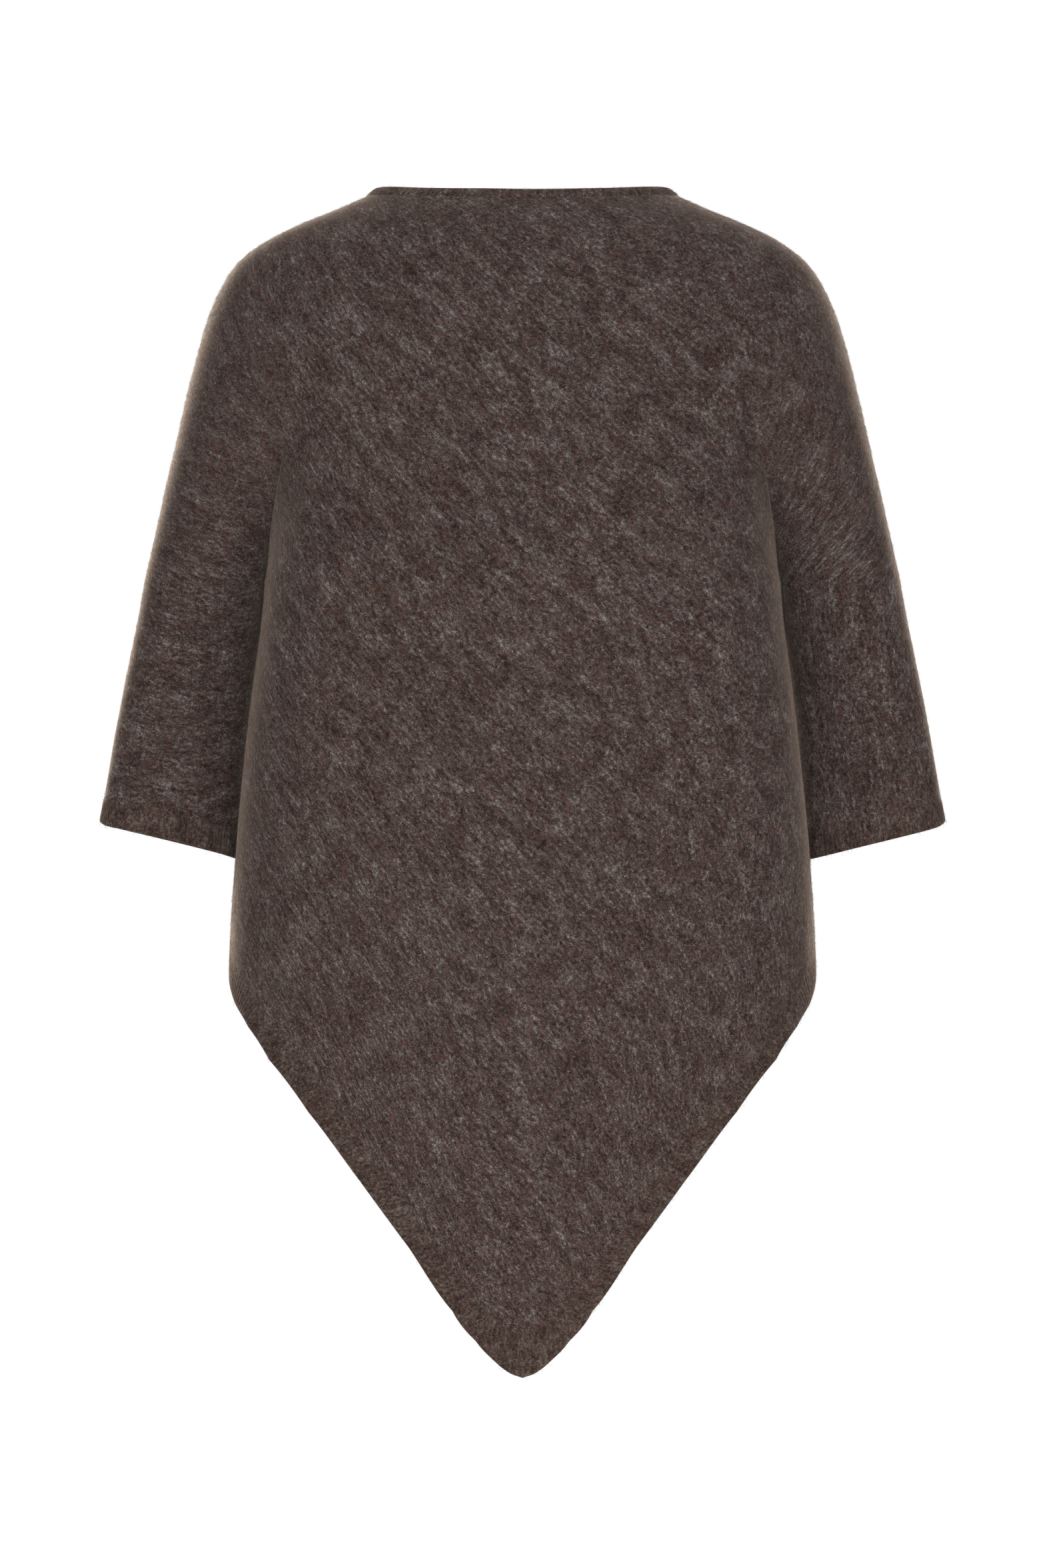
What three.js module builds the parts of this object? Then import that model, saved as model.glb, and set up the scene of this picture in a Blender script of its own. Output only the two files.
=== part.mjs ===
// A knitted poncho sweater as it hangs on a wearer's shoulders, hollow, with no wearer in it.
// Millimetres, +Z up. The wearer faces -Y and their left arm is at +X. The origin lies midway between
// the shoulders at the top of the neckband, where the wearer carries the garment.
// The cloth is one skin. Its yoke runs from the neckline to the underarms, where it parts into a body
// tube and two sleeve tubes. The panels and bands are cut from that skin, and each is given its wall.
import * as THREE from "three";

// Driving sizes of the cloth.
const panelWall = 2.6;
const bandWall = 3.4;
const neckbandWall = 4.2;
const seamGap = 0.3;
const hemBandRise = 31; // a band 20 mm wide, measured upright on its steep edge
const cuffPlace = 3.64; // where the cuff band starts, as a place in sleeveSections
const underarmZ = -290;

// How finely each stretch of the skin is divided. The shares of the body's columns are closer at the
// centre line, where the hem comes to a point.
const bodyShares = [0, 0.04, 0.1, 0.175, 0.26, 0.35, 0.44, 0.53, 0.62, 0.71, 0.8, 0.87, 0.935, 1];
const bodyColumns = bodyShares.length - 1;
const sleeveColumns = 8;
const lastColumn = bodyColumns + sleeveColumns;
const yokeRows = 13;
const bodyRows = 16;
const sleeveRows = 9;
const bandRows = 2;
const bodyShareOfYoke = 0.52; // how much of a yoke quarter leads down to the body

// The yoke's rings, from the neckline down to the underarms. over: the shoulder and overarm line.
// back, front: the centre lines. power: how boxy the ring is. parted: how far body and arms part.
const yokeRings = [
  { overX: 115, overY: -3, overZ: -7, backY: 57, backZ: -13.5, frontY: -77, frontZ: -32, power: 2.1, parted: 0 },
  { overX: 139, overY: -3, overZ: -17.8, backY: 74, backZ: -29, frontY: -92, frontZ: -49, power: 2.1, parted: 0 },
  { overX: 164, overY: -3, overZ: -28, backY: 88, backZ: -48, frontY: -105, frontZ: -70, power: 2.15, parted: 0 },
  { overX: 189, overY: -4, overZ: -40.7, backY: 100, backZ: -75, frontY: -116, frontZ: -97, power: 2.2, parted: 0 },
  { overX: 210, overY: -5, overZ: -57.5, backY: 109, backZ: -107, frontY: -126, frontZ: -127, power: 2.25, parted: 0 },
  { overX: 226, overY: -7, overZ: -85, backY: 116, backZ: -144, frontY: -133, frontZ: -160, power: 2.3, parted: 0 },
  { overX: 239, overY: -10, overZ: -125, backY: 120, backZ: -186, frontY: -137, frontZ: -198, power: 2.3, parted: 0.14 },
  { overX: 256, overY: -13, overZ: -194, backY: 122, backZ: -236, frontY: -137, frontZ: -242, power: 2.3, parted: 0.5 },
  { overX: 277.5, overY: -16, overZ: -287, backY: 122, backZ: -290, frontY: -132, frontZ: -290, power: 2.3, parted: 1 },
];

// The neckband's rings above the neckline, down to up.
const neckRings = [
  { overX: 110, overY: -3, overZ: -3.2, backY: 54, backZ: -10, frontY: -74, frontZ: -29, power: 2.1, parted: 0 },
  { overX: 106, overY: -3, overZ: 0, backY: 51.5, backZ: -6.3, frontY: -71, frontZ: -25, power: 2.1, parted: 0 },
];

// The body tube's level sections. side: the side seam. backPower, frontPower: how boxy each half is.
const bodySections = [
  { z: -40, sideX: 196, sideY: -20, backY: 96, frontY: -104, backPower: 2.4, frontPower: 2.2 },
  { z: -120, sideX: 195, sideY: -20, backY: 114, frontY: -128, backPower: 2.5, frontPower: 2.2 },
  { z: -200, sideX: 192, sideY: -20, backY: 122, frontY: -138, backPower: 2.7, frontPower: 2.1 },
  { z: -290, sideX: 188.5, sideY: -18, backY: 122, frontY: -132, backPower: 2.9, frontPower: 2.0 },
  { z: -390, sideX: 199.5, sideY: -2, backY: 119, frontY: -124, backPower: 2.9, frontPower: 1.9 },
  { z: -500, sideX: 209.5, sideY: 8, backY: 121, frontY: -120, backPower: 2.7, frontPower: 1.95 },
  { z: -585, sideX: 213.5, sideY: 8, backY: 122, frontY: -120, backPower: 2.5, frontPower: 2.1 },
  { z: -700, sideX: 213, sideY: 3, backY: 119, frontY: -118, backPower: 2.4, frontPower: 2.3 },
  { z: -880, sideX: 207, sideY: 0, backY: 108, frontY: -108, backPower: 2.3, frontPower: 2.3 },
];

// The hem's height at each distance out from the centre line.
const hemLine = [
  { x: 0, z: -860 },
  { x: 10, z: -856 },
  { x: 21, z: -847 },
  { x: 33, z: -834 },
  { x: 50, z: -812 },
  { x: 81, z: -767 },
  { x: 116, z: -720 },
  { x: 153, z: -672 },
  { x: 182, z: -636 },
  { x: 198, z: -614 },
  { x: 208, z: -601 },
  { x: 214, z: -590 },
];
const sideHemLift = 15; // how much higher the hem runs at the side seam

// The sleeve tube's sections, from the underarm to the cuff's edge. out: the overarm line.
// in: the underarm seam. back, front: the half depths.
const sleeveSections = [
  { outX: 277.5, outY: -16, outZ: -287, inX: 188.5, inY: -20, inZ: -290, back: 50, front: 54 },
  { outX: 283.5, outY: -19, outZ: -319, inX: 193.5, inY: -37, inZ: -322, back: 50, front: 52 },
  { outX: 293, outY: -23, outZ: -363, inX: 197, inY: -50, inZ: -374, back: 47, front: 49 },
  { outX: 302.5, outY: -28, outZ: -411, inX: 202.5, inY: -54, inZ: -431, back: 43, front: 46 },
  { outX: 312.5, outY: -33, outZ: -468, inX: 206, inY: -54, inZ: -495, back: 39, front: 42 },
];

// Soft folds of the body and yoke: ridges where depth is above 0, troughs where it is below.
// side: 1 back, -1 front. lean: how far each runs sideways for every millimetre down.
const softFolds = [
  { side: 1, x: 100, z: -560, length: 300, width: 90, depth: 4, lean: -0.2 },
  { side: 1, x: -120, z: -470, length: 280, width: 60, depth: -3.5, lean: -0.1 },
  { side: 1, x: 10, z: -190, length: 200, width: 120, depth: -4, lean: 0 },
  { side: 1, x: -52, z: -650, length: 260, width: 80, depth: 3, lean: 0.15 },
  { side: -1, x: 70, z: -470, length: 340, width: 70, depth: 5, lean: 0.08 },
  { side: -1, x: -78, z: -500, length: 320, width: 66, depth: 5, lean: -0.1 },
  { side: -1, x: 0, z: -420, length: 400, width: 80, depth: -5, lean: 0 },
  { side: -1, x: 122, z: -330, length: 200, width: 50, depth: -4, lean: 0.2 },
  { side: -1, x: -126, z: -340, length: 190, width: 52, depth: -4, lean: -0.22 },
];

// The value between b and c, smooth with their outer neighbours a and d.
function smoothBetween(a, b, c, d, part) {
  const slopeB = (c - a) / 2;
  const slopeC = (d - b) / 2;
  const bend = 3 * (c - b) - 2 * slopeB - slopeC;
  const turn = 2 * (b - c) + slopeB + slopeC;
  return b + part * (slopeB + part * (bend + part * turn));
}

// A table's row at a place between its rows, such as 2.4.
function rowAt(table, place) {
  const last = table.length - 1;
  const below = Math.min(Math.max(Math.floor(place), 0), last - 1);
  const row = {};
  for (const column of Object.keys(table[0])) {
    const b = table[below][column];
    const c = table[below + 1][column];
    const a = below > 0 ? table[below - 1][column] : 2 * b - c;
    const d = below + 1 < last ? table[below + 2][column] : 2 * c - b;
    row[column] = smoothBetween(a, b, c, d, place - below);
  }
  return row;
}

// The place between a table's rows where a column reaches a value.
function placeOf(table, column, value) {
  const way = Math.sign(table[table.length - 1][column] - table[0][column]);
  let below = 0;
  while (below < table.length - 2 && (table[below + 1][column] - value) * way < 0) below += 1;
  const from = table[below][column];
  const place = below + (value - from) / (table[below + 1][column] - from);
  return Math.min(Math.max(place, 0), table.length - 1);
}

// A curve's point at a share of its length. The curve is given for turns from 0 to 1.
function alongCurve(curve, share) {
  const steps = 48;
  const lengths = [0];
  let before = curve(0);
  for (let i = 1; i <= steps; i++) {
    const here = curve(i / steps);
    lengths.push(lengths[i - 1] + here.distanceTo(before));
    before = here;
  }
  const wanted = share * lengths[steps];
  let i = 1;
  while (i < steps && lengths[i] < wanted) i += 1;
  const part = (wanted - lengths[i - 1]) / (lengths[i] - lengths[i - 1]);
  return curve((i - 1 + part) / steps);
}

const quarterTurn = Math.PI / 2;
const bowed = (value, power) => Math.pow(Math.max(value, 0), 2 / power);

// A point of the body tube, share 0 at a centre line and 1 at the side seam. side is 1 for the back.
function bodyPoint(side, share, z) {
  const at = rowAt(bodySections, placeOf(bodySections, "z", z));
  const centreY = side > 0 ? at.backY : at.frontY;
  const power = side > 0 ? at.backPower : at.frontPower;
  const section = (turn) =>
    new THREE.Vector3(
      at.sideX * bowed(Math.sin(turn * quarterTurn), power),
      at.sideY + (centreY - at.sideY) * bowed(Math.cos(turn * quarterTurn), power),
      z,
    );
  return share === 1 ? new THREE.Vector3(at.sideX, at.sideY, z) : alongCurve(section, share);
}

// A point of a sleeve section, share 0 at the underarm seam and 1 at the overarm line.
function sleevePoint(side, share, at) {
  const out = (1 - Math.cos(share * Math.PI)) / 2;
  const depth = side > 0 ? at.back : -at.front;
  const bulge = depth * Math.sin(share * Math.PI);
  const mix = THREE.MathUtils.lerp;
  return new THREE.Vector3(mix(at.inX, at.outX, out), mix(at.inY, at.outY, out) + bulge, mix(at.inZ, at.outZ, out));
}

// A point of a yoke or neck ring: one round ring, parting into body and arm towards the underarm.
function ringPoint(side, column, ring) {
  const centreY = side > 0 ? ring.backY : ring.frontY;
  const centreZ = side > 0 ? ring.backZ : ring.frontZ;
  const circle = (turn) =>
    new THREE.Vector3(
      ring.overX * bowed(Math.sin(turn * quarterTurn), ring.power),
      ring.overY + (centreY - ring.overY) * bowed(Math.cos(turn * quarterTurn), ring.power),
      centreZ + (ring.overZ - centreZ) * Math.sin(turn * quarterTurn) ** 2,
    );
  const bodyShare = bodyShares[Math.min(column, bodyColumns)];
  const armShare = Math.max(column - bodyColumns, 0) / sleeveColumns;
  const share = bodyShareOfYoke * bodyShare + (1 - bodyShareOfYoke) * armShare;
  const whole = column === lastColumn ? circle(1) : alongCurve(circle, share);
  if (ring.parted <= 0) return whole;
  const root = { ...sleeveSections[0], outX: ring.overX, outY: ring.overY };
  const apart = armShare > 0 ? sleevePoint(side, armShare, root) : bodyPoint(side, bodyShare, whole.z);
  apart.z = whole.z;
  return whole.lerp(apart, Math.min(ring.parted, 1));
}

// How far the soft folds push a point of the body or yoke outwards.
function foldPush(side, x, z) {
  let push = 0;
  for (const fold of softFolds) {
    if (fold.side !== side) continue;
    const down = (z - fold.z) / (fold.length / 2);
    const across = (x - fold.x - fold.lean * (fold.z - z)) / (fold.width / 2);
    push += fold.depth * Math.exp(-(down * down) - across * across);
  }
  return push;
}

// A point of the skin. zone is neck, yoke, body or sleeve, and row counts down from its top.
// hand is 1 on the wearer's left and -1 on their right.
function skinPoint(zone, row, column, side, hand) {
  let point;
  let calm; // how much of the soft folds is felt here
  if (zone === "neck") {
    point = ringPoint(side, column, neckRings[bandRows - 1 - row]);
    calm = 0;
  } else if (zone === "yoke") {
    point = ringPoint(side, column, rowAt(yokeRings, (row / yokeRows) * (yokeRings.length - 1)));
    calm = 1 - Math.min(column / bodyColumns, 1) ** 4;
  } else if (zone === "body") {
    const share = bodyShares[column];
    const hem = hemHeight(side, share);
    const seam = hem + hemBandRise;
    const z =
      row <= bodyRows
        ? THREE.MathUtils.lerp(underarmZ, seam, row / bodyRows)
        : THREE.MathUtils.lerp(seam, hem, (row - bodyRows) / bandRows);
    point = bodyPoint(side, share, z);
    calm = 1 - (column / bodyColumns) ** 4;
  } else {
    const last = sleeveSections.length - 1;
    const place =
      row <= sleeveRows
        ? (row / sleeveRows) * cuffPlace
        : cuffPlace + ((row - sleeveRows) / bandRows) * (last - cuffPlace);
    point = sleevePoint(side, (column - bodyColumns) / sleeveColumns, rowAt(sleeveSections, place));
    calm = 0;
  }
  point.x *= column === 0 ? 0 : hand;
  point.y += side * calm * foldPush(side, point.x, point.z);
  return point;
}

// The hem's height at a share of the way from the centre line to the side seam.
function hemHeight(side, share) {
  let z = underarmZ;
  for (let tries = 0; tries < 6; tries++) {
    const x = bodyPoint(side, share, z).x;
    z = rowAt(hemLine, placeOf(hemLine, "x", x)).z + sideHemLift * share ** 8;
  }
  return z;
}

// The skin's points, each kept once under a name that neighbouring quarters share.
const points = [];
const pointNumbers = new Map();

function pointNumber(zone, row, column, side, hand) {
  if (zone === "body" && row === 0) return pointNumber("yoke", yokeRows, column, side, hand);
  if (zone === "sleeve" && row === 0) return pointNumber("yoke", yokeRows, column, side, hand);
  if (zone === "neck" && row === bandRows) return pointNumber("yoke", 0, column, side, hand);
  const atUnderarm = column === bodyColumns && (zone !== "yoke" || row === yokeRows) && zone !== "neck";
  const sharedSide = column === lastColumn || atUnderarm;
  const key = [zone, row, column, sharedSide ? 1 : side, column === 0 ? 1 : hand].join(" ");
  if (!pointNumbers.has(key)) {
    pointNumbers.set(key, points.length);
    points.push(skinPoint(zone, row, column, sharedSide ? 1 : side, hand));
  }
  return pointNumbers.get(key);
}

// The four-cornered faces of one quarter's zone, facing outwards, for rows and columns from-to.
function zoneFaces(zone, rows, columns, side, hand) {
  const faces = [];
  for (let row = rows[0]; row < rows[1]; row++) {
    for (let column = columns[0]; column < columns[1]; column++) {
      const corners = [
        pointNumber(zone, row, column, side, hand),
        pointNumber(zone, row + 1, column, side, hand),
        pointNumber(zone, row + 1, column + 1, side, hand),
        pointNumber(zone, row, column + 1, side, hand),
      ];
      faces.push(side * hand > 0 ? corners.reverse() : corners);
    }
  }
  return faces;
}

const toBody = [0, bodyColumns];
const toArm = [bodyColumns, lastColumn];
const sides = { back: 1, front: -1 };
const hands = { left: 1, right: -1 };

const yokeFaces = (side) =>
  Object.values(hands).flatMap((hand) => zoneFaces("yoke", [0, yokeRows], [0, lastColumn], side, hand));

const bodyFaces = (side, rows) => Object.values(hands).flatMap((hand) => zoneFaces("body", rows, toBody, side, hand));

const sleeveFaces = (side, hand) => zoneFaces("sleeve", [0, sleeveRows], toArm, side, hand);

const cuffFaces = (hand) =>
  Object.values(sides).flatMap((side) => zoneFaces("sleeve", [sleeveRows, sleeveRows + bandRows], toArm, side, hand));

const neckFaces = () =>
  Object.values(sides).flatMap((side) =>
    Object.values(hands).flatMap((hand) => zoneFaces("neck", [0, bandRows], [0, lastColumn], side, hand)),
  );

// The back is one piece of cloth, and so is the front. Each is parted at the underarms into a yoke, a
// body and two sleeve halves, simple shapes that keep the hollows inside them open in collision.
const panelColour = 0x5d514c;
const bandColour = 0x514641;
const panel = (name, faces) => ({ name, faces, wall: panelWall, colour: panelColour });
const band = (name, faces, wall = bandWall) => ({ name, faces, wall, colour: bandColour });

const pieces = [
  ...Object.entries(sides).flatMap(([sideName, side]) => [
    panel(`${sideName}_panel_yoke`, yokeFaces(side)),
    panel(`${sideName}_panel_body`, bodyFaces(side, [0, bodyRows])),
    ...Object.entries(hands).map(([handName, hand]) =>
      panel(`${sideName}_panel_${handName}_sleeve`, sleeveFaces(side, hand)),
    ),
    band(`${sideName}_hem_band`, bodyFaces(side, [bodyRows, bodyRows + bandRows])),
  ]),
  ...Object.entries(hands).map(([handName, hand]) => band(`${handName}_cuff`, cuffFaces(hand))),
  band("neckband", neckFaces(), neckbandWall),
];

// Each point's outward direction, from every face that meets it on the whole skin.
const outward = points.map(() => new THREE.Vector3());
for (const { faces } of pieces) {
  for (const face of faces) {
    const [a, b, c, d] = face.map((number) => points[number]);
    const across = c.clone().sub(a);
    const normal = across.cross(d.clone().sub(b)).multiplyScalar(0.5);
    for (const number of face) outward[number].add(normal);
  }
}
for (const direction of outward) direction.normalize();

// One piece of cloth: its faces' points pulled in at the edges, doubled into a wall and closed.
function clothPiece({ name, faces, wall, colour }) {
  const edgeUses = new Map();
  const edgeKey = (a, b) => (a < b ? `${a} ${b}` : `${b} ${a}`);
  const inwards = new Map();
  for (const face of faces) {
    const middle = face.reduce((sum, number) => sum.add(points[number]), new THREE.Vector3()).divideScalar(4);
    face.forEach((number, i) => {
      const key = edgeKey(number, face[(i + 1) % 4]);
      edgeUses.set(key, (edgeUses.get(key) ?? 0) + 1);
      const pull = inwards.get(number) ?? new THREE.Vector3();
      inwards.set(number, pull.add(middle.clone().sub(points[number])));
    });
  }
  const edges = [];
  for (const face of faces) {
    face.forEach((number, i) => {
      const next = face[(i + 1) % 4];
      if (edgeUses.get(edgeKey(number, next)) === 1) edges.push([number, next]);
    });
  }
  const onEdge = new Set(edges.flat());

  const positions = [];
  const outerOf = new Map();
  for (const [number, pull] of inwards) {
    const middle = points[number].clone();
    if (onEdge.has(number)) {
      const along = pull.addScaledVector(outward[number], -pull.dot(outward[number]));
      middle.addScaledVector(along.normalize(), (seamGap / 2) * Math.SQRT2);
    }
    outerOf.set(number, positions.length / 3);
    const outer = middle.clone().addScaledVector(outward[number], wall / 2);
    const inner = middle.clone().addScaledVector(outward[number], -wall / 2);
    positions.push(...outer.toArray(), ...inner.toArray());
  }

  const triangles = [];
  const outerAt = (number) => outerOf.get(number);
  const innerAt = (number) => outerOf.get(number) + 1;
  for (const [a, b, c, d] of faces) {
    const shortAcross = points[a].distanceTo(points[c]) <= points[b].distanceTo(points[d]);
    const halves = shortAcross ? [[a, b, c], [a, c, d]] : [[a, b, d], [b, c, d]];
    for (const [p, q, r] of halves) {
      triangles.push(outerAt(p), outerAt(q), outerAt(r), innerAt(p), innerAt(r), innerAt(q));
    }
  }
  for (const [a, b] of edges) {
    // Both pieces at a seam split their edge walls along the same diagonal.
    if (a < b) triangles.push(outerAt(b), outerAt(a), innerAt(b), outerAt(a), innerAt(a), innerAt(b));
    else triangles.push(outerAt(b), outerAt(a), innerAt(a), outerAt(b), innerAt(a), innerAt(b));
  }

  const geometry = new THREE.BufferGeometry();
  geometry.setAttribute("position", new THREE.Float32BufferAttribute(positions, 3));
  geometry.setIndex(triangles);
  geometry.computeVertexNormals();
  const mesh = new THREE.Mesh(geometry, new THREE.MeshStandardMaterial({ color: colour, roughness: 0.95 }));
  mesh.name = name;
  return mesh;
}

const sweater = new THREE.Group();
sweater.name = "knitted_poncho_sweater";
for (const piece of pieces) sweater.add(clothPiece(piece));

export default sweater;
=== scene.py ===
import math

import bmesh
import bpy
import numpy as np
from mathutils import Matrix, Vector, noise


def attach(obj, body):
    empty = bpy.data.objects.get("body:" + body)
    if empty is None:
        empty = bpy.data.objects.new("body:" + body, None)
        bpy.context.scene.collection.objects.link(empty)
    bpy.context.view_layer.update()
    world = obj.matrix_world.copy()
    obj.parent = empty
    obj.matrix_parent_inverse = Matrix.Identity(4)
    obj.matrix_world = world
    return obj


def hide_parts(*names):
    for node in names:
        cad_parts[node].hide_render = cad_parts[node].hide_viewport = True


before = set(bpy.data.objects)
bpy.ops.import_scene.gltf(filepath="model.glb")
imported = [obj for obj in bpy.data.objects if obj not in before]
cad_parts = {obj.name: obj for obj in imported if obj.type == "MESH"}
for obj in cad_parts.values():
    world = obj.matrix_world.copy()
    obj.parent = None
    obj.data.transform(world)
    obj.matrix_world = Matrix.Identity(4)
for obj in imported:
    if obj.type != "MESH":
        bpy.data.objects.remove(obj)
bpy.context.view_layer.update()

# A hollow knitted poncho sweater, seen from behind. The tables are in millimetres, the meshes in
# metres. side is 1 for the back and -1 for the front, hand is 1 for the wearer's left.
mm = 0.001
scene = bpy.context.scene

camera = {"distance": 3.5, "height": -0.437, "mmForPixel": 0.49, "pixelsHigh": 2352, "sensor": 36,
          "sees": 30}

cloth = {
    "panelWall": 2.6,
    "underarmZ": -290,
    "shareDown": 0.52,     # how much of a yoke quarter leads down to the body
    "cuffPlace": 3.64,     # where the cuff starts, as a place in the sleeve table
    "hemBandRise": 31,     # 20 mm across, measured upright on the steep edge
    "weldGap": 0.03,       # points nearer than this are one
    "seamDip": 0.9,        # how far a sewn edge is drawn in
    "besideDip": 0.225,    # and the row of points beside it
    "creaseFree": 0.6,     # the place below which a sleeve's creases have their whole depth
}
# Softly uneven cloth: two noises, each with its scale for each metre and its share of the depth.
unevenness = {"depth": 0.35, "broad": 22, "broadShare": 0.7, "fine": 70, "fineShare": 0.3,
              "fineShift": (3, 1, 7)}
smoothUnder = {"panel": 40, "band": 70}     # degrees between faces that are shaded as one
tiny = 1e-9

# Rings from the neckline to the underarms: the overarm line, then the centre lines.
yokeRings = {
    "overX": [115, 139, 164, 189, 210, 226, 239, 256, 277.5],
    "overY": [-3, -3, -3, -4, -5, -7, -10, -13, -16],
    "overZ": [-7, -17.8, -28, -40.7, -57.5, -85, -125, -194, -287],
    "backY": [57, 74, 88, 100, 109, 116, 120, 122, 122],
    "backZ": [-13.5, -29, -48, -75, -107, -144, -186, -236, -290],
    "frontY": [-77, -92, -105, -116, -126, -133, -137, -137, -132],
    "frontZ": [-32, -49, -70, -97, -127, -160, -198, -242, -290],
    "power": [2.1, 2.1, 2.15, 2.2, 2.25, 2.3, 2.3, 2.3, 2.3],
    "parted": [0, 0, 0, 0, 0, 0, 0.14, 0.5, 1],
}
neckRings = {
    "overX": [115, 110, 106],
    "overY": [-3, -3, -3],
    "overZ": [-7, -3.2, 0],
    "backY": [57, 54, 51.5],
    "backZ": [-13.5, -10, -6.3],
    "frontY": [-77, -74, -71],
    "frontZ": [-32, -29, -25],
    "power": [2.1, 2.1, 2.1],
    "parted": [0, 0, 0],
}
bodySections = {
    "z": [-40, -120, -200, -290, -390, -500, -585, -700, -880],
    "sideX": [196, 195, 192, 188.5, 199.5, 209.5, 213.5, 213, 207],
    "sideY": [-20, -20, -20, -18, -2, 8, 8, 3, 0],
    "backY": [96, 114, 122, 122, 119, 121, 122, 119, 108],
    "frontY": [-104, -128, -138, -132, -124, -120, -120, -118, -108],
    "backPower": [2.4, 2.5, 2.7, 2.9, 2.9, 2.7, 2.5, 2.4, 2.3],
    "frontPower": [2.2, 2.2, 2.1, 2.0, 1.9, 1.95, 2.1, 2.3, 2.3],
}
sleeveSections = {
    "outX": [277.5, 283.5, 293, 302.5, 312.5],
    "outY": [-16, -19, -23, -28, -33],
    "outZ": [-287, -319, -363, -411, -468],
    "inX": [188.5, 193.5, 197, 202.5, 206],
    "inY": [-20, -37, -50, -54, -54],
    "inZ": [-290, -322, -374, -431, -495],
    "back": [50, 50, 47, 43, 39],
    "front": [54, 52, 49, 46, 42],
}
hemLine = {
    "x": [0, 10, 21, 33, 50, 81, 116, 153, 182, 198, 208, 214],
    "z": [-860, -856, -847, -834, -812, -767, -720, -672, -636, -614, -601, -590],
}
sideHem = {"lift": 15, "power": 8, "rounds": 6}
# Where the folds' columns stand, as shares of the half section from the centre line to the side seam.
bodyShares = [0, 0.04, 0.1, 0.175, 0.26, 0.35, 0.44, 0.53, 0.62, 0.71, 0.8, 0.87, 0.935, 1]

# Soft folds: side, x, z, length, width, depth, and how far each leans sideways going down.
softFolds = [
    (1, 100, -560, 300, 90, 4, -0.2),
    (1, -120, -470, 280, 60, -3.5, -0.1),
    (1, 10, -190, 200, 120, -4, 0),
    (1, -52, -650, 260, 80, 3, 0.15),
    (-1, 70, -470, 340, 70, 5, 0.08),
    (-1, -78, -500, 320, 66, 5, -0.1),
    (-1, 0, -420, 400, 80, -5, 0),
    (-1, 122, -330, 200, 50, -4, 0.2),
    (-1, -126, -340, 190, 52, -4, -0.22),
]
# Smaller creases of the body, in the same order.
smallFolds = [
    (1, 150, -380, 150, 24, -1.5, -0.12),
    (1, -160, -330, 170, 22, -1.6, 0.1),
    (1, 60, -520, 120, 28, 1.2, -0.3),
    (1, -30, -330, 130, 36, -1, 0.25),
    (1, 20, -700, 150, 32, 1.1, 0.2),
    (1, -95, -610, 110, 26, -1, 0.3),
    (1, 168, -540, 120, 22, 1.1, 0.05),
    (1, -176, -520, 130, 20, 1.2, -0.05),
    (-1, 40, -250, 160, 26, -1.3, 0.2),
    (-1, -46, -262, 150, 24, -1.4, -0.18),
    (-1, 112, -560, 150, 28, 1.3, -0.2),
    (-1, -120, -600, 130, 26, -1.2, 0.2),
    (-1, 6, -650, 190, 36, 1.4, 0.05),
]
# Creases of the sleeves: hand, side, share out from the underarm, place, width, reach, depth, lean.
sleeveFolds = [
    (1, 1, 0.2, 1.9, 0.16, 2.2, 4.5, 0.02),
    (1, 1, 0.42, 3.85, 0.04, 0.55, -5, -0.09),
    (1, 1, 0.35, 3.8, 0.05, 0.6, 2.6, -0.07),
    (-1, 1, 0.4, 3.8, 0.06, 0.6, -1.8, 0.08),
    (1, 1, 0.7, 2.2, 0.16, 2.0, 1.6, 0.0),
    (-1, 1, 0.18, 1.9, 0.15, 2.2, 3.5, 0.02),
    (-1, 1, 0.62, 2.3, 0.16, 2.2, 1.4, 0.03),
    (1, -1, 0.5, 1.6, 0.16, 1.8, -2, 0.04),
    (-1, -1, 0.45, 2.0, 0.16, 1.8, -2, -0.04),
]


def readTable(values, place):
    # a smooth value between a table's rows, such as at place 2.4
    values = np.asarray(values, float)
    last = len(values) - 1
    low = np.clip(np.floor(place).astype(int), 0, last - 1)
    part = place - low
    here = values[low]
    after = values[low + 1]
    before = np.where(low > 0, values[np.maximum(low - 1, 0)], 2 * here - after)
    beyond = np.where(low < last - 1, values[np.minimum(low + 2, last)], 2 * after - here)
    slopeHere = (after - before) / 2
    slopeAfter = (beyond - here) / 2
    bend = 3 * (after - here) - 2 * slopeHere - slopeAfter
    turn = 2 * (here - after) + slopeHere + slopeAfter
    return here + part * (slopeHere + part * (bend + part * turn))


def readRow(table, place):
    return {name: readTable(values, place) for name, values in table.items()}


def placeOf(values, wanted):
    # the place between a column's rows where it reaches a value
    values = np.asarray(values, float)
    way = np.sign(values[-1] - values[0])
    return np.interp(wanted * way, values * way, np.arange(len(values)))


def bowed(value, power):
    return np.maximum(value, 0) ** (2 / power)


def alongCurve(curve, share):
    # points at a share of each curve's length
    steps = 48
    line = curve(np.linspace(0, 1, steps + 1)[:, None])
    pieces = np.linalg.norm(np.diff(line, axis=0), axis=2)
    lengths = np.vstack([np.zeros_like(pieces[:1]), np.cumsum(pieces, axis=0)])
    wanted = share * lengths[-1]
    step = np.clip((lengths < wanted).sum(axis=0), 1, steps)
    number = np.arange(len(share))
    low = lengths[step - 1, number]
    high = lengths[step, number]
    return curve((step - 1 + (wanted - low) / (high - low)) / steps)


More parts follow.
